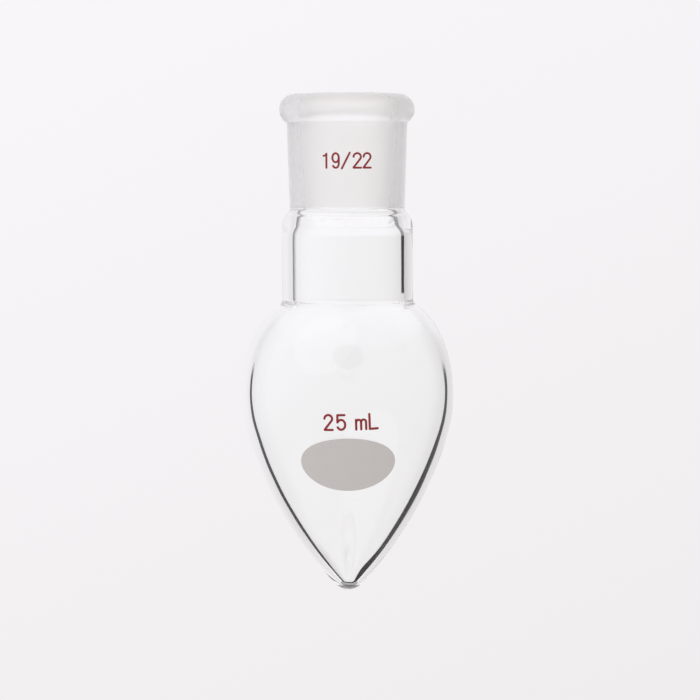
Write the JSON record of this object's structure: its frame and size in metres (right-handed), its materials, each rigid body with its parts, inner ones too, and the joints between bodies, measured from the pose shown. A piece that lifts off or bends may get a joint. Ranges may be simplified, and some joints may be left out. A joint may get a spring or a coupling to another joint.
{
  "type": "pear-shaped flask",
  "caption": "Clear glass pear-shaped flask with a rounded-point base, a short straight neck and a beaded 19/22 ground socket.",
  "frame": {"origin": "centre of the rim's top plane, at the large end of the ground socket", "axes": "+Z along the flask's axis, out of the socket's mouth; the printed side faces -Y"},
  "size_m": [0.04, 0.04, 0.0938],
  "materials": {
    "clear_glass": "clear fire-polished borosilicate; the inside of the socket is ground to a fine white frost",
    "red_enamel": "fired dark red marking enamel, satin",
    "white_enamel": "fired matt off-white enamel patch to write on"
  },
  "bodies": {
    "root": {"flask": "clear_glass"}
  },
  "joints": []
}
